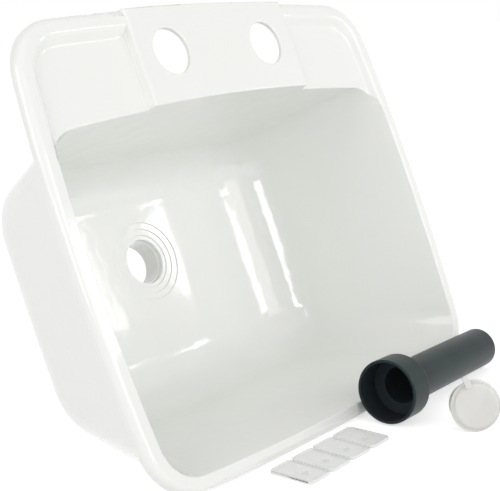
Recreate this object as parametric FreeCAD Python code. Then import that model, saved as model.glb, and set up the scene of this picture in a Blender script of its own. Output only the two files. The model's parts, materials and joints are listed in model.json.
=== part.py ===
import FreeCAD, Part
import math
import os

V = FreeCAD.Vector

# A drop-in lavatory sink of moulded plastic, with the loose pieces that come with it.
#
# The sink is drawn the way it is used: x to the right, y from the bowl towards the tap deck,
# z up out of the bowl, with the middle of the rim's crest at zero. It is then stood on its
# front edge, leaning back until the bottom of the bowl touches the table as well. The drain
# tailpiece, the stopper and the strip of mounting clips lie in front of it on the same table.
# All lengths are in millimetres and all angles in degrees.

# Rim of the sink
sink_width = 377.0          # over the turned-down edge, at the middle of the sides
sink_depth = 318.5          # over the turned-down edge, at the middle of front and back
side_bow = 9.0              # how far each side bulges past its corners
end_bow = 6.6               # how far the front and the back bulge past their corners
corner_radius = 40.0
wall = 3.0                  # thickness of the moulding everywhere
rim_height = 8.0            # from the foot of the turned-down edge to the crest
rim_round = 5.5             # outer shoulder of the rim
side_rim_width = 12.0       # from the outer edge to the bowl, at the sides and the back
front_rim_width = 9.5       # from the outer edge to the bowl, at the front

# Bowl
deck_width = 68.85          # from the bowl's back edge to the back of the rim, in the middle
deck_edge_bow = 8.6         # how far the bowl's back edge falls back towards its corners
bowl_depth = 145.5          # from the rim's crest to the floor of the bowl
bowl_front_corner = 29.0
bowl_back_corner = 20.0
bowl_foot_corner = 42.0     # corners of the bowl in plan, at the foot of its walls
side_draft = 16.2           # how far each wall leans at its middle, in degrees
front_draft = 16.4
back_draft = 4.6
floor_round = 47.0          # where the walls turn into the floor
floor_bow_share = 0.2       # of the mouth's bulges, what is left of them at the floor

# Tap deck: a raised plateau in the middle and a sunken soap shelf on each side
plateau_width = 164.8
plateau_rise = 1.8          # above the rim's crest
plateau_side_run = 1.8      # the plateau's flanks lean out by this much
plateau_round = 1.6
shelf_drop = 5.4            # below the rim's crest
shelf_bank = 5.5            # width of the sloping bank round each shelf
shelf_round = 3.5
tap_spacing = 101.6         # between the middles of the two tap holes
tap_bore = 33.3
tap_inset = 33.75           # from the back of the rim to the middles of the tap holes

# Drain
drain_place = 1.4           # behind the middle of the sink
drain_bore = 34.0
drain_seat_bore = 36.6      # pocket that the stopper's flange drops into
drain_seat_depth = 3.6
drain_step_height = 1.0     # height of each shallow ring round the drain
drain_step_shares = (1.0, 0.83, 0.68)
drain_dish_radius = 32.0    # outermost ring
spigot_diameter = 41.6
spigot_length = 17.0        # below the boss under the bowl
spigot_chamfer = 1.0

# Tailpiece
tail_length = 150.0
tail_diameter = 31.0
tail_wall = 2.2
bell_gap = 0.35             # all round the spigot when the tailpiece is pushed on
bell_depth = 21.0
bell_wall = 2.2
bell_shoulder = 3.0         # length of the step between bell and tube
tail_place = 17.3           # middle of the bell's mouth, right of the middle of the sink
tail_clearance = 1.65       # between the tailpiece and the sink's front edge
tail_heading = 3.6          # turned out from the sink's front edge

# Stopper
stopper_gap = 0.3           # between the flange and its seat, all round
stopper_flange = 3.4
stopper_cap_share = 0.82    # raised middle of the cap, of the flange's radius
stopper_cap_rise = 1.4
plug_gap = 0.5              # between the plug and the bore, all round
plug_length = 13.0
plug_collar = 4.0           # length of the plug's wider part, next to the flange
plug_step = 1.6             # the rest of the plug is smaller by this much, all round
plug_wall = 2.6
tab_reach = 4.6             # how far the lift tab stands out past the flange
tab_width = 6.0
tab_thickness = 1.6
stopper_place = (43.0, -85.0)
stopper_heading = 42.0      # the cap faces this far towards the left from straight ahead
stopper_turn = 20.0         # the lift tab leans this far to the left from straight up

# Mounting clips, four in a strip that is snapped apart
clip_count = 4
clip_pitch = 22.9
clip_length = 34.6
clip_thickness = 2.4
clip_groove = 1.2           # gap between two clips
clip_corner = 1.6
clip_screw_bore = 4.2
clip_screw_share = 0.62     # place of the screw hole along the clip, from the sink's side
clip_web_thickness = 1.0    # the thin web that is snapped
clip_web_share = 0.84       # of the clip's length, what the web covers
clip_place = (-94.0, -10.4)  # corner of the strip nearest the sink

cut_overrun = 4.0           # how far a cutting tool runs past what it cuts
clearance_moves = 4         # steps in which the tailpiece is brought to its clearance


def unit(vector):
    return vector / vector.Length


def arc(centre, start, end):
    """A short arc as its start, middle and end."""
    return start, centre + unit(start + end - centre * 2) * (start - centre).Length, end


def corner(side, end, radius, behind):
    """Centre of a round corner and where it touches a side's circle and an end's circle."""
    (a, along), (b, across) = side, end
    reach, other = along - radius, across - radius
    gap = (b - a).Length
    run = (reach ** 2 - other ** 2 + gap ** 2) / (2 * gap)
    forward = unit(b - a)
    sideways = V(-forward.y, forward.x, 0) * math.sqrt(reach ** 2 - run ** 2)
    choices = [a + forward * run + sideways, a + forward * run - sideways]
    centre = max(choices, key=lambda p: p.y if behind else -p.y)
    return centre, a + unit(centre - a) * along, b + unit(centre - b) * across


def outline(side, low, high, corners, level):
    """A rectangle with bulging sides and round corners, as eight arcs. Side, low and high each
    give how far that side stands from the middle of the sink, and its radius; corners are
    the radii at the front and at the back."""
    sides = V(side[0] - side[1], 0, level), side[1]
    front = V(0, low[1] - low[0], level), low[1]
    back = V(0, high[0] - high[1], level), high[1]
    k, flank, foot = corner(sides, front, corners[0], False)
    right = [arc(k, foot, flank)]
    k, upper, head = corner(sides, back, corners[1], True)
    right += [arc(sides[0], flank, upper), arc(k, upper, head)]
    left = [tuple(V(-p.x, p.y, p.z) for p in reversed(piece)) for piece in reversed(right)]
    return right + [arc(back[0], head, left[0][0])] + left + [arc(front[0], left[-1][2], foot)]


def wire(arcs):
    return Part.Wire([Part.Arc(*piece).toShape() for piece in arcs])


def poles(arcs):
    """Each arc's ends with the point where its end tangents meet, and their weights."""
    rows = []
    for start, middle, end in arcs:
        chord = (start + end) / 2
        rise = (middle - chord).Length / (start - chord).Length
        weight = (1 - rise ** 2) / (1 + rise ** 2)
        rows.append([(start, 1), ((middle * (1 + weight) - chord) / weight, weight), (end, 1)])
    return rows


def between(top, foot, share):
    """The ring of poles at a share of the way down a straight wall."""
    rows = []
    for upper, lower in zip(top, foot):
        row = []
        for (p, v), (q, w) in zip(upper, lower):
            weight = v * (1 - share) + w * share
            row.append(((p * v * (1 - share) + q * w * share) / weight, weight))
        rows.append(row)
    return rows


def patches(rings, pulls=None):
    """Faces between rings of poles: straight across two rings, and round across three, where
    the middle ring is the sharp edge that the round replaces and pulls weigh its poles."""
    faces = []
    degree = len(rings) - 1
    for number, strips in enumerate(zip(*rings)):
        grid = [[strip[i][0] for strip in strips] for i in range(3)]
        weights = [[strip[i][1] for strip in strips] for i in range(3)]
        if pulls:
            for row, pull in zip(weights, pulls[number]):
                row[1] *= pull
        surface = Part.BSplineSurface()
        surface.buildFromPolesMultsKnots(grid, [3, 3], [degree + 1] * 2, [0, 1], [0, 1],
                                         False, False, 2, degree, weights)
        faces.append(surface.toShape())
    return faces


def bodied(faces):
    """A solid from the faces that close it."""
    shell = Part.makeShell(faces)
    shell.sewShape()
    solid = Part.makeSolid(shell)
    if solid.Volume < 0:
        solid.reverse()
    return solid


def bulge(half_width, bow):
    """Radius of a side that stands out by its bow over its half width."""
    return (half_width ** 2 + bow ** 2) / (2 * bow)


rim_side = sink_width / 2, bulge(sink_depth / 2 - end_bow, side_bow)
rim_end = sink_depth / 2, bulge(sink_width / 2 - side_bow, end_bow)
deck_edge = sink_depth / 2 - deck_width


def grown(line, step):
    return line[0] + step, line[1] + step


def rim_outline(grow, level):
    """Outline of the turned-down edge, larger by grow."""
    end, radius = grown(rim_end, grow), corner_radius + grow
    return outline(grown(rim_side, grow), end, end, (radius, radius), level)


def mouth_lines(grow):
    """The sides, front and back of the bowl's mouth, larger by grow."""
    side, front = grown(rim_side, -side_rim_width), grown(rim_end, -front_rim_width)
    back = deck_edge, bulge(sink_width / 2 - side_bow - side_rim_width, deck_edge_bow)
    return [grown(line, grow) for line in (side, front, back)]


def half_turn(draft):
    """Half the angle through which a wall turns into the floor."""
    return math.radians(90 - draft) / 2


def round_height(grow):
    """Height of the round between the walls and the floor."""
    return (floor_round + grow) * math.tan(half_turn(side_draft)) * math.cos(math.radians(side_draft))


def bowl(top, grow):
    """The bowl as a solid, from a level down to its floor, larger by grow."""
    depth = bowl_depth + grow
    drafts = side_draft, front_draft, back_draft
    leans = [math.tan(math.radians(draft)) for draft in drafts]
    lines = mouth_lines(grow)
    corners = bowl_front_corner + grow, bowl_back_corner + grow
    rise, foot = round_height(grow), bowl_foot_corner + grow
    insets = [rise / math.cos(math.radians(draft)) for draft in drafts]
    # The walls run straight down to a sharp foot, and a round then replaces it.
    feet = [(reach - lean * depth, radius / floor_bow_share) for (reach, radius), lean in zip(lines, leans)]
    floor_lines = [(reach - inset, radius) for (reach, radius), inset in zip(feet, insets)]
    heads = [(reach + lean * top, radius) for (reach, radius), lean in zip(lines, leans)]
    head_arcs = outline(*heads, corners, top)
    floor_arcs = outline(*floor_lines, (foot - max(insets),) * 2, -depth)
    head, sharp, floor = poles(head_arcs), poles(outline(*feet, (foot, foot), -depth)), poles(floor_arcs)
    spring = between(head, sharp, (top + depth - rise) / (top + depth))
    # The pull of each side's round, and of the corners that lie between two sides.
    side, front, back = [math.cos(half_turn(draft)) for draft in drafts]
    ends = [(front, side), (side, side), (side, back), (back, back),
            (back, side), (side, side), (side, front), (front, front)]
    pulls = [(start, (start + end) / 2, end) for start, end in ends]
    faces = patches([head, spring]) + patches([spring, sharp, floor], pulls)
    return bodied(faces + [Part.Face(wire(head_arcs)), Part.Face(wire(floor_arcs))])


def edges_at(shape, level):
    """All edges that lie flat at one level."""
    return [e for e in shape.Edges
            if all(abs(v.Point.z - level) < Part.Precision.confusion() for v in e.Vertexes)]


def rim_block(grow, foot, top, shoulder):
    """The outline as an upright block with a round shoulder."""
    block = Part.Face(wire(rim_outline(grow, foot))).extrude(V(0, 0, top - foot))
    return block.makeFillet(shoulder, edges_at(block, top)) if shoulder else block


def ridge(shrink, low, high, front, back):
    """The tap plateau with its leaning flanks, run from front to back."""
    lean = plateau_side_run / (plateau_rise + shelf_drop)
    half = plateau_width / 2 - shrink
    wide, narrow = half + lean * (plateau_rise - low), half + lean * (plateau_rise - high)
    corners = [V(-wide, front, low), V(wide, front, low), V(narrow, front, high), V(-narrow, front, high)]
    return Part.Face(Part.makePolygon(corners + corners[:1])).extrude(V(0, back - front, 0))


def shelf_pocket(grow, top):
    """The two sunken shelves as one pair of solids, larger by grow for their outside."""
    lean = shelf_bank / shelf_drop
    low = -(shelf_drop + grow)
    edge = grow - side_rim_width
    front = deck_edge - deck_edge_bow - bowl_back_corner
    rings = [rim_outline(edge + lean * level, level) for level in (top, low)]
    ends = [Part.Face(wire(ring)) for ring in rings]
    bank = bodied(patches([poles(ring) for ring in rings]) + ends)
    size = sink_width + sink_depth
    keep = Part.makeBox(size, size, size, V(-size / 2, front, -size / 2))
    flank = ridge(grow, low - cut_overrun, top + cut_overrun, front - cut_overrun, size)
    pair = bank.common(keep).cut(flank)
    floor = [e for e in edges_at(pair, low) if e.CenterOfMass.y > front + cut_overrun / 2]
    return pair.makeFillet(shelf_round + grow, floor)


def deck_plateau():
    """The raised part of the deck: it runs out over the back of the rim."""
    front = deck_edge - deck_edge_bow
    block = ridge(0, -rim_round, plateau_rise, front, sink_depth)
    block = block.common(rim_block(0, -rim_round, plateau_rise, 0))
    top = edges_at(block, plateau_rise)
    return block.makeFillet(plateau_round, [e for e in top if e.CenterOfMass.y > deck_edge + wall])


def underside(outside):
    """The open space under the rim and the deck, round the outside of the bowl and shelves."""
    foot = -rim_height - cut_overrun
    space = rim_block(-wall, foot, -wall, rim_round - wall)
    raised = ridge(wall, foot, plateau_rise - wall, deck_edge - deck_edge_bow, sink_depth)
    raised = raised.common(rim_block(-wall, foot, plateau_rise - wall, 0))
    return space.fuse(raised).cut(outside)


def turned(profile):
    """A solid turned about the upright axis from points given as radius and height."""
    points = [V(radius, 0, height) for radius, height in profile]
    return Part.Face(Part.makePolygon(points + points[:1])).revolve(V(), V(0, 0, 1), 360)


def drain_outlet():
    """Boss and spigot under the bowl."""
    inside = -(bowl_depth + wall / 2)
    under = -(bowl_depth + wall + drain_step_height * len(drain_step_shares))
    boss, spigot = drain_dish_radius + wall, spigot_diameter / 2
    end = under - spigot_length
    return turned([(0, inside), (boss + wall, inside), (boss, under), (spigot, under),
                   (spigot, end + spigot_chamfer), (spigot - spigot_chamfer, end), (0, end)])


def drain_bore_tool():
    """Shallow rings, the stopper's seat and the bore."""
    radii = [drain_dish_radius * share for share in drain_step_shares] + [drain_seat_bore / 2]
    level = -bowl_depth
    profile = [(0, level + cut_overrun), (radii[0], level + cut_overrun)]
    for ring, inner in zip(radii, radii[1:]):
        level -= drain_step_height
        profile += [(ring, level), (inner, level)]
    ledge = level - drain_seat_depth
    end = ledge - spigot_length - cut_overrun
    bore = drain_bore / 2
    return turned(profile + [(radii[-1], ledge), (bore, ledge), (bore, end), (0, end)])


def basin():
    """The sink as one moulding, drawn the way it is used."""
    outside = bowl(plateau_rise - wall, wall).fuse(shelf_pocket(wall, -wall))
    body = rim_block(0, -rim_height, 0, rim_round)
    body = body.fuse([deck_plateau(), outside]).cut(underside(outside))
    drain = V(0, drain_place, 0)
    body = body.fuse(drain_outlet().translated(drain))
    tools = [bowl(cut_overrun, 0), shelf_pocket(0, cut_overrun), drain_bore_tool().translated(drain)]
    for side in (-1, 1):
        place = V(side * tap_spacing / 2, sink_depth / 2 - tap_inset, -rim_height)
        tools.append(Part.makeCylinder(tap_bore / 2, rim_height + plateau_rise + cut_overrun, place))
    return body.cut(tools).removeSplitter()


def tailpiece():
    """The drain tube with its bell, drawn upright with the bell's mouth at zero."""
    bell_bore = spigot_diameter / 2 + bell_gap
    bell, tube = bell_bore + bell_wall, tail_diameter / 2
    bore = tube - tail_wall
    shoulder = bell_depth + bell_shoulder
    # The bell's inner and outer steps turn down to the tube, with a stop for the spigot between.
    return turned([(bell_bore, 0), (bell, 0), (bell, bell_depth), (tube, shoulder), (tube, tail_length),
                   (bore, tail_length), (bore, bell_depth), (bell_bore, bell_depth)])


def laid_tailpiece(sink):
    """The tailpiece on its side, just in front of the sink: the bell and the far end both touch
    the table."""
    bell = spigot_diameter / 2 + bell_gap + bell_wall
    tilt = math.atan2(bell - tail_diameter / 2, tail_length - bell_depth)
    lift = bell_depth * math.sin(tilt) + bell * math.cos(tilt)
    piece = tailpiece().rotated(V(), V(0, 1, 0), 90 + math.degrees(tilt))
    piece = piece.rotated(V(), V(0, 0, 1), tail_heading)
    piece = piece.translated(V(tail_place, -bell - tail_clearance, lift))
    # Each move brings it closer to its clearance, because the nearest points change with it.
    for _ in range(clearance_moves):
        piece = piece.translated(V(0, piece.distToShape(sink)[0] - tail_clearance, 0))
    return piece


def stopper():
    """The stopper, drawn as it drops into the drain, with the flange's foot at zero."""
    flange = drain_seat_bore / 2 - stopper_gap
    cap = flange * stopper_cap_share
    plug = drain_bore / 2 - plug_gap
    end = plug - plug_step
    crown = stopper_flange + stopper_cap_rise
    body = turned([(0, 0), (end - plug_wall, 0), (end - plug_wall, -plug_length), (end, -plug_length),
                   (end, -plug_collar), (plug, -plug_collar), (plug, 0), (flange, 0),
                   (flange, stopper_flange), (cap, stopper_flange), (cap, crown), (0, crown)])
    # The tab clears the first ring round the drain when the stopper is home.
    low = drain_seat_depth + drain_step_height + stopper_gap
    high = low + tab_thickness
    arm = Part.makeBox(tab_width, flange + tab_reach - cap, tab_thickness, V(-tab_width / 2, cap, low))
    post = Part.makeBox(tab_width, flange - cap, high, V(-tab_width / 2, cap, 0))
    round_edge = Part.makeCylinder(flange, high)
    return body.fuse([arm, post.common(round_edge)]).removeSplitter()


def laid_stopper():
    """The stopper on its side: the flange's rim and the end of the plug touch the table."""
    flange = drain_seat_bore / 2 - stopper_gap
    end = drain_bore / 2 - plug_gap - plug_step
    tilt = math.atan2(flange - end, plug_length)
    lift = flange * math.cos(tilt)
    piece = stopper().rotated(V(), V(0, 0, 1), stopper_turn)
    piece = piece.rotated(V(), V(1, 0, 0), 90 - math.degrees(tilt))
    return piece.rotated(V(), V(0, 0, 1), -stopper_heading).translated(V(*stopper_place, lift))


def clip(first, last):
    """One mounting clip, lying flat, with the web that it shares with each neighbour."""
    width = clip_pitch - clip_groove
    plate = Part.makeBox(width, clip_length, clip_thickness, V(clip_groove / 2, 0, 0))
    upright = [e for e in plate.Edges if abs(e.BoundBox.ZLength - clip_thickness) < Part.Precision.confusion()]
    plate = plate.makeFillet(clip_corner, upright)
    side = clip_length * (1 - clip_web_share) / 2
    start = clip_pitch / 2 if first else 0
    stop = clip_pitch / 2 if last else clip_pitch
    web = Part.makeBox(stop - start, clip_length * clip_web_share, clip_web_thickness, V(start, side, 0))
    hole = Part.makeCylinder(clip_screw_bore / 2, clip_thickness,
                             V(clip_pitch / 2, clip_length * (1 - clip_screw_share), 0))
    return plate.fuse(web).cut(hole).removeSplitter()


def rest_angle():
    """How far the sink's rim stands up from the table when it leans on its bowl."""
    lean = math.radians(front_draft)
    depth = bowl_depth + wall
    foot = sink_depth / 2 - front_rim_width + wall - depth * math.tan(lean)
    inset = round_height(wall) / math.cos(lean)
    radius = inset / math.tan(half_turn(front_draft))
    across, down = sink_depth / 2 - foot + inset, depth - radius - rim_height
    return math.degrees(math.atan2(down, across) + math.asin(radius / math.hypot(across, down)))


def stood(shape):
    """The sink stood on its front edge, leaning back on its bowl."""
    foot = V(0, -sink_depth / 2, -rim_height)
    return shape.translated(-foot).rotated(V(), V(1, 0, 0), rest_angle())


os.makedirs("parts", exist_ok=True)
sink = stood(basin())
pieces = {"basin": sink, "tailpiece": laid_tailpiece(sink), "stopper": laid_stopper()}
for number in range(clip_count):
    place = V(clip_place[0] + number * clip_pitch, clip_place[1] - clip_length, 0)
    pieces[f"clip_{number + 1}"] = clip(number == 0, number == clip_count - 1).translated(place)

# The middle of the whole set's footprint, on the table, is the origin.
footprint = Part.makeCompound(list(pieces.values())).optimalBoundingBox(False, False)
shift = V(-footprint.Center.x, -footprint.Center.y, 0)
for name, piece in pieces.items():
    piece.translated(shift).exportStep(f"parts/{name}.step")
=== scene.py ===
# %% [markdown]
# # A drop-in lavatory sink with its loose fittings
#
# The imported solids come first, as a fixed frame in metres. Every piece below is made at the
# place where its solid is, and rides on the body that carries it.

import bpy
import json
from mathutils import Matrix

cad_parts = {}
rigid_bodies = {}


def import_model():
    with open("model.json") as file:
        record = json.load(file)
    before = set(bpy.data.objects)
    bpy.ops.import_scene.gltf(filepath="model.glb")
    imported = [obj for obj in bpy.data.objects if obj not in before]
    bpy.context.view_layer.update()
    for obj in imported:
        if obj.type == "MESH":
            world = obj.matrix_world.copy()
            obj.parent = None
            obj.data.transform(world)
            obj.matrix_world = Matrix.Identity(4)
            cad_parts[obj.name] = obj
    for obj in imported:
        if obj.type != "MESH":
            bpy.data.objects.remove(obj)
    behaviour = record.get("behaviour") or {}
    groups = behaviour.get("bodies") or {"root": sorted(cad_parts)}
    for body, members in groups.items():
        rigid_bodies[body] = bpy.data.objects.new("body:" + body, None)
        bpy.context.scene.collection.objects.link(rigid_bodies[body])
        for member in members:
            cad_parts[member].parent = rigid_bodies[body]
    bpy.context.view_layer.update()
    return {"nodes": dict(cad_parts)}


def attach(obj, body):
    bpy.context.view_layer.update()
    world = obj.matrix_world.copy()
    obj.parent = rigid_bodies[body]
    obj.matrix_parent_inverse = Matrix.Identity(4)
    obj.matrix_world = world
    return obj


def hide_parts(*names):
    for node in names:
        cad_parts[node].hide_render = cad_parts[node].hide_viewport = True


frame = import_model()
nodes = frame["nodes"]
print("nodes:", sorted(nodes))

# %% Modules
import bmesh, bpy, json, math
from mathutils import Matrix, Vector

MM = 0.001
print("sizes are written in millimetres, and", MM, "turns them into metres")

# %% [markdown]
# ## The camera
#
# The camera stands in front of the open side of the sink, to the left, and looks a little down.
# A camera could be aimed at a target by eye, but then the outlines never quite meet those in
# the picture. So its place was worked out from the straight edges and the round holes there,
# and it is turned by the three directions of its own axes: right, up and backwards.

# %% The camera
camera = bpy.data.objects.new("camera", bpy.data.cameras.new("camera"))
bpy.context.collection.objects.link(camera)
eye = Vector((-590.89, -492.89, 288.88)) * MM
to_right = Vector((0.64424, -0.76278, -0.05593))
to_front = Vector((0.74011, 0.64019, -0.20589))
to_top = to_right.cross(to_front)
facing = Matrix((to_right, to_top, -to_front)).transposed().to_4x4()
camera.matrix_world = Matrix.Translation(eye) @ facing
camera.data.sensor_width = 36
camera.data.lens = 77.9
camera.data.clip_start, camera.data.clip_end = 0.05, 50
bpy.context.scene.camera = camera
print("camera at", tuple(round(v, 3) for v in camera.location))

# %% [markdown]
# ## The studio
#
# The set stands on white, as in a catalogue. A white backdrop could be made by flooding it with
# light, but that light would also fall on the white plastic and wash out its shape. So the world
# is a plain light grey where it lights the object, and pure white only where it is looked at:
# by the camera, in a gloss or through a clear piece.

# %% The world
fill_strength, seen_strength = 0.55, 1
world = bpy.data.worlds.new("studio")
bpy.context.scene.world = world
world.use_nodes = True
tree = world.node_tree
fill = tree.nodes["Background"]
fill.inputs["Color"].default_value = (1, 1, 1, 1)
fill.inputs["Strength"].default_value = fill_strength
white = tree.nodes.new("ShaderNodeBackground")
white.inputs["Color"].default_value = (1, 1, 1, 1)
white.inputs["Strength"].default_value = seen_strength


def looked_at(tree):
    """One where a ray comes from the camera, from a gloss or through a clear piece, else zero."""
    rays = tree.nodes.new("ShaderNodeLightPath")
    total = rays.outputs["Is Camera Ray"]
    for kind in ("Is Glossy Ray", "Is Transmission Ray"):
        larger = tree.nodes.new("ShaderNodeMath")
        larger.operation = "MAXIMUM"
        tree.links.new(total, larger.inputs[0])
        tree.links.new(rays.outputs[kind], larger.inputs[1])
        total = larger.outputs[0]
    return total


either = tree.nodes.new("ShaderNodeMixShader")
tree.links.new(looked_at(tree), either.inputs[0])
tree.links.new(fill.outputs[0], either.inputs[1])
tree.links.new(white.outputs[0], either.inputs[2])
tree.links.new(either.outputs[0], tree.nodes["World Output"].inputs["Surface"])
bpy.context.scene.view_settings.view_transform = "Standard"
print("world fills with", fill_strength, "and shows as", seen_strength)

# %% [markdown]
# ## The lamps
#
# Two broad soft boxes, one at the left and one in front, give the plastic its plain level. The
# gloss needs something small to show as well, or the bowl looks like chalk. Two strips make the
# slanted bands where the bowl's floor turns up into its right wall, and a little window makes
# the patch beside the drain. A highlight sits where the plastic mirrors a lamp, so each of the
# three is placed along the mirror direction and aimed at the spot where it shows.

# %% The lamps
def soft_box(name, place, target, size, power):
    """A lamp of a width and height at a place, turned towards a target, in metres and watts."""
    lamp = bpy.data.objects.new(name, bpy.data.lights.new(name, "AREA"))
    lamp.data.shape = "RECTANGLE"
    lamp.data.size, lamp.data.size_y = size
    lamp.data.energy = power
    lamp.location = place
    lamp.rotation_euler = (Vector(target) - Vector(place)).to_track_quat("-Z", "Y").to_euler()
    bpy.context.collection.objects.link(lamp)
    print("lamp", name, "of", power, "W")


set_middle = (0, 0, 0.1)
soft_box("left_lamp", place=(-1.9, 0.1, 1.1), target=set_middle, size=(1.2, 1.2), power=9.5)
soft_box("middle_lamp", place=(0, -1.9, 0.75), target=set_middle, size=(1.2, 1.2), power=8)
soft_box("near_strip", place=(-1.56, -0.80, 0.60), target=(0.137, 0.103, 0.09),
         size=(0.50, 0.30), power=3.3)
soft_box("far_strip", place=(0.79, -1.42, 0.72), target=(0.107, 0.125, 0.093),
         size=(0.90, 0.30), power=4.5)
soft_box("window_gleam", place=(1.177, -0.903, 0.581), target=(0.052, 0.129, 0.104),
         size=(0.13, 0.21), power=0.7)

# %% [markdown]
# ## The floor
#
# The set lies on a plain table top. One flat face is enough for it, so wide that its edge is
# never in view.

# %% The floor
floor_side = 30
bpy.ops.mesh.primitive_plane_add(size=floor_side, location=(0, 0, 0))
floor = bpy.context.object
floor.name = "floor"
print("floor of", floor_side, "by", floor_side, "m")

# %% [markdown]
# ## Working by hand
#
# Every operator acts on what is selected, and the loaded solids are selected at first. So each
# piece is taken alone before it is worked on. A finished piece has its place in its mesh, and
# its object stays at the origin, because the patterns of the finishes are laid out from there.

# %% Selecting and placing
def alone(piece):
    """Selects one piece and nothing else."""
    if bpy.context.mode != "OBJECT":
        bpy.ops.object.mode_set(mode="OBJECT")
    bpy.ops.object.select_all(action="DESELECT")
    piece.select_set(True)
    bpy.context.view_layer.objects.active = piece


def edit(piece, select="DESELECT"):
    """Opens one piece in edit mode."""
    alone(piece)
    bpy.ops.object.mode_set(mode="EDIT")
    bpy.ops.mesh.select_all(action=select)


def place(piece, matrix):
    """Moves a piece from where it was drawn to its place, and keeps that in its mesh."""
    alone(piece)
    piece.matrix_world = matrix
    bpy.ops.object.transform_apply(location=True, rotation=True, scale=True)


def apply(piece, kind, **settings):
    """Adds a modifier with its settings and applies it."""
    alone(piece)
    modifier = piece.modifiers.new(kind.lower(), kind)
    for key, value in settings.items():
        setattr(modifier, key, value)
    bpy.ops.object.modifier_apply(modifier=modifier.name)


def smooth(piece, degrees):
    """Shades a piece smooth, apart from edges sharper than an angle, and keeps flats flat."""
    alone(piece)
    bpy.ops.object.shade_smooth_by_angle(angle=math.radians(degrees))
    apply(piece, "WEIGHTED_NORMAL", keep_sharp=True)
    print(piece.name, len(piece.data.vertices), "points", len(piece.data.polygons), "faces")


# %% [markdown]
# ## Moulded plastic
#
# All the finishes are plastics, and a mould leaves the same three marks on each: the colour is
# a little uneven, the gloss varies from place to place, and the skin has a fine ripple like the
# peel of an orange. A picture of plastic could be wrapped round each piece, but it would show
# its seams. So one helper builds the marks from three noises in the piece's own coordinates.
# What is the same all over is set on the shader itself.

# %% A helper for plastics
ramp_start, ramp_end = 0.35, 0.65
colour_detail, gloss_detail, peel_detail = 3, 4, 2
gloss_finer, peel_strength = 4, 0.35


def plastic(name, dark, pale, cloud, dull, shiny, peel, depth, **settings):
    """A moulded plastic from two near colours, a range of roughness and a fine ripple."""
    material = bpy.data.materials.new(name)
    material.use_nodes = True
    tree = material.node_tree
    shader = tree.nodes["Principled BSDF"]
    for key, value in settings.items():
        shader.inputs[key.replace("_", " ")].default_value = value
    spot = tree.nodes.new("ShaderNodeTexCoord").outputs["Object"]

    def noise(scale, detail):
        node = tree.nodes.new("ShaderNodeTexNoise")
        node.inputs["Scale"].default_value = scale
        node.inputs["Detail"].default_value = detail
        tree.links.new(spot, node.inputs["Vector"])
        return node.outputs["Fac"]

    ramp = tree.nodes.new("ShaderNodeValToRGB")
    first, last = ramp.color_ramp.elements
    first.position, last.position = ramp_start, ramp_end
    first.color, last.color = (*dark, 1), (*pale, 1)
    tree.links.new(noise(cloud, colour_detail), ramp.inputs["Fac"])
    tree.links.new(ramp.outputs["Color"], shader.inputs["Base Color"])
    gloss = tree.nodes.new("ShaderNodeMapRange")
    gloss.inputs["To Min"].default_value, gloss.inputs["To Max"].default_value = shiny, dull
    tree.links.new(noise(cloud * gloss_finer, gloss_detail), gloss.inputs["Value"])
    tree.links.new(gloss.outputs["Result"], shader.inputs["Roughness"])
    bump = tree.nodes.new("ShaderNodeBump")
    bump.inputs["Strength"].default_value = peel_strength
    bump.inputs["Distance"].default_value = depth
    tree.links.new(noise(peel, peel_detail), bump.inputs["Height"])
    tree.links.new(bump.outputs["Normal"], shader.inputs["Normal"])
    print("finish", name, "with", len(tree.nodes), "nodes")
    return material


# %% [markdown]
# The sink is a glossy white with a hint of green, under a thin clear gloss of its own, and its
# ripple is broad enough to make the highlights waver. The stopper is a softer cream white. The
# tailpiece is a satin black that its mould leaves matt inside; inside, its colour is painted a
# little lighter, as painted fill light for the shade in the bore. The clips are clear enough to
# let the table shine through. The solids that stay hidden take the same finishes.

# %% The finishes
finishes = {
    "basin": plastic("gloss_white", dark=(0.864, 0.874, 0.844), pale=(0.886, 0.893, 0.866),
                     cloud=5, dull=0.12, shiny=0.06, peel=45, depth=0.0006,
                     Coat_Weight=0.25, Coat_Roughness=0.05),
    "tailpiece": plastic("satin_black", dark=(0.009, 0.020, 0.020), pale=(0.013, 0.027, 0.028),
                         cloud=30, dull=0.40, shiny=0.28, peel=1800, depth=0.00003,
                         Specular_IOR_Level=0.22),
    # The bore's black is painted a little lighter than the outside's: painted fill light for its shade.
    "bore": plastic("matt_bore_painted_lighter", dark=(0.018, 0.025, 0.029), pale=(0.022, 0.030, 0.034),
                    cloud=30, dull=0.75, shiny=0.6, peel=1800, depth=0.00003,
                    Specular_IOR_Level=0.12),
    "stopper": plastic("cream_white", dark=(0.67, 0.665, 0.635), pale=(0.72, 0.715, 0.685),
                       cloud=60, dull=0.24, shiny=0.14, peel=1500, depth=0.00003,
                       Specular_IOR_Level=0.55),
    "clip": plastic("milky_clear", dark=(0.86, 0.875, 0.85), pale=(0.90, 0.91, 0.89),
                    cloud=80, dull=0.42, shiny=0.28, peel=1500, depth=0.00003,
                    Alpha=0.6, IOR=1.46),
}
for name, node in nodes.items():
    node.data.materials.clear()
    node.data.materials.append(finishes[name.split("_")[0]])

# %% [markdown]
# ## The sink
#
# The sink is one moulding, 3 mm thick all over, and its solid has the shape that the mould has.
# What the solid leaves sharp is every edge where the rim, the shelves and the tap plateau turn
# down into the bowl: on the real one these lips are softly round. The whole shell could be
# drawn again as a mesh, but then every measured wall would have to be met by eye. So the piece
# starts as a copy of the solid, its loose triangles are merged and its flat faces joined up.
#
# The solid is drawn flat on the foot of its rim and then stood up on its front edge. The matrix
# that stands it up also gives the sink's own up, and its inverse finds places on the sink.

# %% A copy of the solid, with its faces joined up
sink_depth, rim_height = 318.5, 8.0
set_back = -57.0032
lean = math.radians(69.311)
same_point, same_plane = 0.001, math.radians(0.05)

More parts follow.
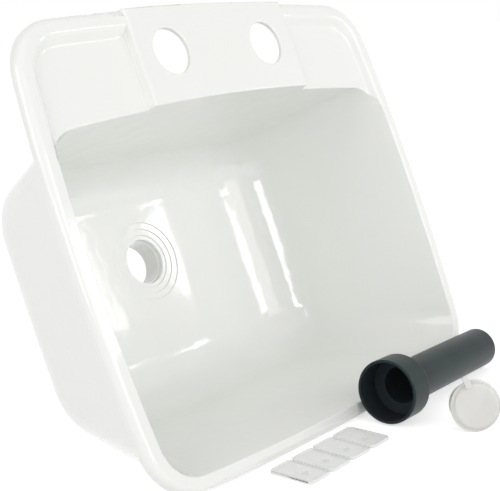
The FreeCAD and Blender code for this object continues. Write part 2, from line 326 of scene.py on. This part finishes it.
stand = (Matrix.Translation(Vector((0, set_back, 0)) * MM) @ Matrix.Rotation(lean, 4, "X")
         @ Matrix.Translation(Vector((0, sink_depth / 2, rim_height)) * MM))
rise = (stand.to_3x3() @ Vector((0, 0, 1))).normalized()
sink = bpy.data.objects.new("sink_moulding", nodes["basin"].data.copy())
bpy.context.collection.objects.link(sink)
edit(sink, "SELECT")
bpy.ops.mesh.remove_doubles(threshold=same_point * MM)
bpy.ops.mesh.dissolve_limited(angle_limit=same_plane)
print("joined up to", len(bmesh.from_edit_mesh(sink.data).faces), "faces")

# %% [markdown]
# A bevel can round every edge that is sharper than an angle, but it would also round the foot
# of the rim and the spigot, which are crisp. So the edges of the lips are found by their place
# on the sink and by the way the faces beside them look, and each gets a weight: most towards a
# shelf's sloping bank, half towards the bowl and the tap holes, and a quarter on the shallow
# rings round the drain. A face that looks straight up the sink has a value of 1, and an upright
# wall has 0.

# %% The lips: edges that turn down from the top
bank_round, bowl_round, ring_round = 2.0, 1.0, 0.5
sharp_edge = math.radians(38)
# Places on the sink, in millimetres from the middle of its rim and up from the rim's crest.
rim_foot, rim_back = -8, 150
ring_height, ring_reach = -144, 34
# How far a face looks up the sink.
level, banked, sloping, upright = 0.9, 0.4, 0.2, -0.1

to_use = stand.inverted()
mould = bmesh.from_edit_mesh(sink.data)
weight = mould.edges.layers.float.new("bevel_weight_edge")
lips = 0
for edge in mould.edges:
    if edge.calc_face_angle_signed() < sharp_edge:
        continue
    spot = to_use @ ((edge.verts[0].co + edge.verts[1].co) / 2) / MM
    lower, upper = sorted(face.normal.dot(rise) for face in edge.link_faces)
    if spot.z < ring_height and spot.xy.length < ring_reach and upper > level:
        edge[weight] = ring_round / bank_round
    elif spot.z < rim_foot or spot.y > rim_back:
        continue
    elif lower > banked and upper > level:
        edge[weight] = 1.0
    elif lower > upright and upper > sloping:
        edge[weight] = bowl_round / bank_round
    lips += edge[weight] > 0
bmesh.update_edit_mesh(sink.data)
apply(sink, "BEVEL", limit_method="WEIGHT", width=bank_round * MM, segments=3,
      use_clamp_overlap=False)
print("rounded", lips, "edges")

# %% [markdown]
# Where two of these rounds run into each other, the bevel leaves a few small faces folded back
# over their neighbours, and they would show as dark dots. Smoothing would soften the whole lip,
# so only the folds are mended: the shortest side of each is drawn together into one point, in
# turns, until none is left. What then hangs on by one side is deleted.

# %% The lips' folds
fold_angle, most_turns = math.radians(110), 10

edit(sink)
bpy.ops.mesh.select_mode(type="EDGE")
for turn in range(most_turns):
    mould = bmesh.from_edit_mesh(sink.data)
    folds = [edge for edge in mould.edges if edge.calc_face_angle(0) > fold_angle]
    print("folds:", len(folds))
    if not folds:
        break
    for edge in folds:
        small = min(edge.link_faces, key=lambda face: face.calc_area())
        min(small.edges, key=lambda side: side.calc_length()).select = True
    bmesh.update_edit_mesh(sink.data)
    bpy.ops.mesh.merge(type="COLLAPSE")
    bpy.ops.mesh.select_all(action="DESELECT")

bpy.ops.mesh.select_mode(type="FACE")
mould = bmesh.from_edit_mesh(sink.data)
for face in mould.faces:
    face.select = any(edge.is_boundary for edge in face.edges)
bmesh.update_edit_mesh(sink.data)
bpy.ops.mesh.delete(type="FACE")
smooth(sink, 30)
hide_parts("basin")
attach(sink, "sink_set")

# %% [markdown]
# ## Turning round pieces
#
# The tailpiece and the stopper are turned shapes. Each could be spun from its outline, but spin
# leaves a seam to close. Here a circle is the first ring, and each further ring is extruded from
# the one before, moved along the axis and scaled to its radius, so every ring is whole from the
# start. The corners of the outline get small rounds first, because a mould has no sharp corners
# and the light catches on every round. Each corner's round has its own size, in millimetres.

# %% Rounding an outline and turning it
def rounded(corners, rounds, steps=5):
    """An outline through corners of radius and height, with an arc of each round's size."""
    outline = []
    for number, (corner, size) in enumerate(zip(corners, rounds)):
        here = Vector(corner)
        if not size:
            outline.append(here)
            continue
        before = (Vector(corners[number - 1]) - here).normalized()
        after = (Vector(corners[(number + 1) % len(corners)]) - here).normalized()
        half = before.angle(after) / 2
        centre = here + (before + after).normalized() * size / math.sin(half)
        first = here + before * size / math.tan(half) - centre
        last = here + after * size / math.tan(half) - centre
        sweep = math.pi - 2 * half
        for step in range(steps + 1):
            part = step / steps
            turn = first * math.sin((1 - part) * sweep) + last * math.sin(part * sweep)
            outline.append(centre + turn / math.sin(sweep))
    return outline


def turned(name, outline, closed, segments=128):
    """A round piece about the upright axis, ring by ring, from an outline in millimetres."""
    first = outline[0] * MM
    bpy.ops.object.select_all(action="DESELECT")
    bpy.ops.mesh.primitive_circle_add(vertices=segments, radius=first.x, location=(0, 0, first.y))
    piece = bpy.context.object
    piece.name = name
    bpy.ops.object.transform_apply(location=True)
    edit(piece, "SELECT")
    if not closed:
        bpy.ops.mesh.edge_face_add()
        bpy.ops.mesh.select_all(action="SELECT")
    for before, after in zip(outline, outline[1:] + (outline[:1] if closed else [])):
        step, height = (after.y - before.y) * MM, after.y * MM
        bpy.ops.mesh.extrude_edges_move(TRANSFORM_OT_translate={"value": (0, 0, step)})
        scale = after.x / before.x
        bpy.ops.transform.resize(value=(scale, scale, 1), center_override=(0, 0, height))
    if not closed:
        bpy.ops.mesh.edge_face_add()
    bpy.ops.mesh.select_all(action="SELECT")
    bpy.ops.mesh.remove_doubles(threshold=2 * same_point * MM)
    bpy.ops.mesh.normals_make_consistent(inside=False)
    bpy.ops.object.mode_set(mode="OBJECT")
    print("turned", name, "from", len(outline), "rings")
    return piece


# %% [markdown]
# ## The tailpiece
#
# The drain tube has a bell at one end that slips over the spigot under the bowl, and a stop
# inside keeps the spigot from going too far. The outline goes round the wall of the tube, from
# the mouth of the bell along the outside and back along the inside. The faces of the bore are
# then found by their distance from the axis, and get the matt finish, which is painted a little
# lighter than the outside as fill light for the shade in the bore.
#
# The tube lies on the table on the edge of its bell and the end of its tube, so it is tilted by
# the angle between the two, and turned a little out from the sink's front edge.

# %% The tailpiece
mouth_radius, bell_radius, bell_depth = 21.15, 23.35, 21
tube_radius, bore_radius, tail_length = 15.5, 13.3, 150
shoulder_end = 24
# A face nearer to the axis than these belongs to the bore, in the bell and beyond its stop.
bell_inside, tube_inside, stop_height = 22.0, 14.3, 21.3

tail = turned("drain_tailpiece", rounded(
    [(mouth_radius, 0), (bell_radius, 0), (bell_radius, bell_depth), (tube_radius, shoulder_end),
     (tube_radius, tail_length), (bore_radius, tail_length), (bore_radius, bell_depth),
     (mouth_radius, bell_depth)],
    rounds=(0.6, 0.8, 0.9, 1.0, 0.7, 0.7, 0.6, 0.8)), closed=True)
tail.data.materials.append(finishes["tailpiece"])
tail.data.materials.append(finishes["bore"])
# The bore's faces take the second finish, painted lighter as fill light for the shade inside.
for face in tail.data.polygons:
    reach, height = face.center.xy.length / MM, face.center.z / MM
    face.material_index = int(reach < (bell_inside if height < stop_height else tube_inside))

# %% Laying the tailpiece down
tail_place = (17.3, -86.1393)
tail_heading = math.radians(3.6)
tilt = math.atan2(bell_radius - tube_radius, tail_length - bell_depth)
lift = bell_depth * math.sin(tilt) + bell_radius * math.cos(tilt)
place(tail, Matrix.Translation(Vector((*tail_place, lift)) * MM) @ Matrix.Rotation(tail_heading, 4, "Z")
      @ Matrix.Rotation(math.pi / 2 + tilt, 4, "Y"))
smooth(tail, 40)
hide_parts("tailpiece")
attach(tail, "sink_set")

# %% [markdown]
# ## The stopper
#
# A flange sits in the drain's pocket, a hollow plug hangs in the bore, and a raised cap with a
# soft shoulder is what the hand sees. It is turned like the tailpiece, but its outline starts
# and ends near the axis, where small flat faces close it.

# %% The stopper
pole = 1.0
plug_bore, plug_radius, plug_length = 12.3, 14.9, 13
collar_radius, collar_length = 16.5, 4
flange_radius, flange_edge = 18.0, 1.9
cap_foot, cap_foot_height = 16.6, 2.1
cap_radius, cap_height = 15.2, 4.8

stopper = turned("drain_stopper", rounded(
    [(pole, 0), (plug_bore, 0), (plug_bore, -plug_length), (plug_radius, -plug_length),
     (plug_radius, -collar_length), (collar_radius, -collar_length), (collar_radius, 0),
     (flange_radius, 0), (flange_radius, flange_edge), (cap_foot, cap_foot_height),
     (cap_radius, cap_height), (pole, cap_height)],
    rounds=(0, 0.6, 0.4, 0.8, 0.4, 0.6, 0.5, 0.5, 0.7, 0.5, 2.2, 0)), closed=False)

# %% [markdown]
# A small tab at the edge is there to pull the stopper up by. It is made of two boxes, a post on
# the cap and an arm that reaches out over the flange. Boxes left inside each other would keep
# hidden faces, so a union makes them one closed skin with the turned body. The same box is the
# start of each mounting clip further down.

# %% A box with round edges, and joining
def block(name, low, high, size=0):
    """A box between two corners, with its edges rounded by a size, in millimetres."""
    low, high = Vector(low) * MM, Vector(high) * MM
    bpy.ops.object.select_all(action="DESELECT")
    bpy.ops.mesh.primitive_cube_add(size=1, location=(low + high) / 2, scale=high - low)
    piece = bpy.context.object
    piece.name = name
    bpy.ops.object.transform_apply(location=True, rotation=True, scale=True)
    if size:
        apply(piece, "BEVEL", width=size * MM, segments=3, limit_method="ANGLE")
    return piece


def join(piece, other):
    """Makes two pieces one closed skin."""
    apply(piece, "BOOLEAN", object=other, operation="UNION", solver="EXACT")
    bpy.data.objects.remove(other)
    print(piece.name, "now has", len(piece.data.polygons), "faces")


# %% [markdown]
# The stopper lies on its side, on the rim of its flange and the end of its plug. So it is
# rolled until its tab leans a little to the left, tipped over, and turned to face the left.

# %% The lift tab, and laying the stopper down
tab_half, tab_reach = 2.2, 22.6
post_start, post_end, post_foot, post_top = 13.6, 17.6, 0.4, 6.2
arm_start, arm_foot, arm_top = 13.4, 4.9, 6.5
post_round, arm_round = 0.4, 0.5

join(stopper, block("post", (-tab_half, post_start, post_foot), (tab_half, post_end, post_top), post_round))
join(stopper, block("arm", (-tab_half, arm_start, arm_foot), (tab_half, tab_reach, arm_top), arm_round))

stopper_place = (43.0, set_back - 85.0)
stopper_heading, stopper_turn = math.radians(-42), math.radians(20)
tilt = math.atan2(flange_radius - plug_radius, plug_length)
lift = flange_radius * math.cos(tilt)
place(stopper, Matrix.Translation(Vector((*stopper_place, lift)) * MM)
      @ Matrix.Rotation(stopper_heading, 4, "Z") @ Matrix.Rotation(math.pi / 2 - tilt, 4, "X")
      @ Matrix.Rotation(stopper_turn, 4, "Z"))
smooth(stopper, 40)
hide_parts("stopper")
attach(stopper, "stopper")

# %% [markdown]
# ## The mounting clips
#
# Four clips come as one strip that is snapped apart by hand. Each is a small plate with round
# corners, a raised border and a screw hole, and a thinner web joins it to its neighbours. One
# clip is modelled and copied. Its plate is a box: a bevel of the four upright edges makes the
# corners round, and two insets of the top face, the second one sunk, leave the border standing.

# %% One clip's plate, with round corners and a sunken middle
clip_pitch, clip_side = 22.9, 0.6
clip_length, clip_thickness = 34.6, 2.4
corner_round, border, dip_slope, dip, edge_round = 3.0, 1.5, 0.3, 0.35, 0.3

pattern = block("clip_pattern", (clip_side, 0, 0), (clip_pitch - clip_side, clip_length, clip_thickness))
edit(pattern)
bpy.ops.mesh.select_mode(type="EDGE")
plate = bmesh.from_edit_mesh(pattern.data)
for edge in plate.edges:
    edge.select = abs(edge.verts[0].co.z - edge.verts[1].co.z) > MM
bmesh.update_edit_mesh(pattern.data)
bpy.ops.mesh.bevel(offset=corner_round * MM, segments=6)
bpy.ops.mesh.select_all(action="DESELECT")
bpy.ops.mesh.select_mode(type="FACE")
plate = bmesh.from_edit_mesh(pattern.data)
for face in plate.faces:
    face.select = face.normal.z > level
bmesh.update_edit_mesh(pattern.data)
bpy.ops.mesh.inset(thickness=border * MM)
bpy.ops.mesh.inset(thickness=dip_slope * MM, depth=-dip * MM)
apply(pattern, "BEVEL", width=edge_round * MM, segments=2, limit_method="ANGLE",
      angle_limit=math.radians(60))
print("one plate has", len(pattern.data.polygons), "faces")

# %% [markdown]
# The web runs right across from one neighbour to the other, so it is one thin box joined to the
# plate. The screw hole goes through both, and a cylinder is cut out for it, longer than the
# clip is thick so that it leaves no skin behind.

# %% Its webs and its screw hole
web_margin, web_thickness = 2.8, 1.8
screw_bore, screw_place, drill_length = 4.2, 13.148, 10

join(pattern, block("web", (0, web_margin, 0), (clip_pitch, clip_length - web_margin, web_thickness)))
bpy.ops.object.select_all(action="DESELECT")
bpy.ops.mesh.primitive_cylinder_add(
    vertices=48, radius=screw_bore / 2 * MM, depth=drill_length * MM,
    location=Vector((clip_pitch / 2, screw_place, clip_thickness / 2)) * MM)
drill = bpy.context.object
apply(pattern, "BOOLEAN", object=drill, operation="DIFFERENCE", solver="EXACT")
bpy.data.objects.remove(drill)
print("with web and hole it has", len(pattern.data.polygons), "faces")

# %% [markdown]
# An array modifier would copy the clip too, but as one mesh, and here each clip is a piece of
# its own with its own place in the strip. The end clips have no neighbour on one side, so the
# web there is cut off just inside the plate's edge, and the cut is filled.

# %% The strip of four
clip_count, half_cut = 4, 10.8
strip_place = (-94, set_back - 45.0)

for number in range(1, clip_count + 1):
    clip = bpy.data.objects.new(f"mounting_clip_{number}", pattern.data.copy())
    bpy.context.collection.objects.link(clip)
    if number in (1, clip_count):
        outer = 1 if number == clip_count else -1
        cut = Vector((clip_pitch / 2 + outer * half_cut, 0, 0)) * MM
        edit(clip, "SELECT")
        bpy.ops.mesh.bisect(plane_co=cut, plane_no=(outer, 0, 0), use_fill=True, clear_outer=True)
    along = strip_place[0] + clip_pitch * (number - 1)
    place(clip, Matrix.Translation(Vector((along, strip_place[1], 0)) * MM))
    smooth(clip, 40)
    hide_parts(f"clip_{number}")
    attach(clip, "sink_set")
bpy.data.objects.remove(pattern)

# %% [markdown]
# ## Finishes on the new pieces
#
# Each piece takes the finish of the solid that it stands for. The tailpiece has its two already.

# %% Finishes on the pieces
clips = [bpy.data.objects[f"mounting_clip_{number}"] for number in range(1, clip_count + 1)]
for name, pieces in {"basin": [sink], "stopper": [stopper], "clip": clips}.items():
    for piece in pieces:
        piece.data.materials.clear()
        piece.data.materials.append(finishes[name])
    print(finishes[name].name, "on", len(pieces))

# %% [markdown]
# ## The floor's finish
#
# The floor is a matt white that keeps the object's shadow. Lit like the object it would show as
# grey, with a line where it meets the white of the world. So to the camera and in a reflection
# it glows a little, and the light on the object stays as it is.

# %% The floor's finish
floor_colour, floor_glow = 0.86, 0.56
ground = bpy.data.materials.new("pale_floor")
ground.use_nodes = True
tree = ground.node_tree
matt = tree.nodes["Principled BSDF"]
matt.inputs["Base Color"].default_value = (floor_colour, floor_colour, floor_colour, 1)
matt.inputs["Roughness"].default_value = 0.9
matt.inputs["Specular IOR Level"].default_value = 0.1
glow = tree.nodes.new("ShaderNodeEmission")
amount = tree.nodes.new("ShaderNodeMath")
amount.operation = "MULTIPLY"
amount.inputs[1].default_value = floor_glow
tree.links.new(looked_at(tree), amount.inputs[0])
tree.links.new(amount.outputs[0], glow.inputs["Strength"])
both = tree.nodes.new("ShaderNodeAddShader")
tree.links.new(matt.outputs[0], both.inputs[0])
tree.links.new(glow.outputs[0], both.inputs[1])
tree.links.new(both.outputs[0], tree.nodes["Material Output"].inputs["Surface"])
floor.data.materials.append(ground)
print("floor glows with", floor_glow, "where it is looked at")
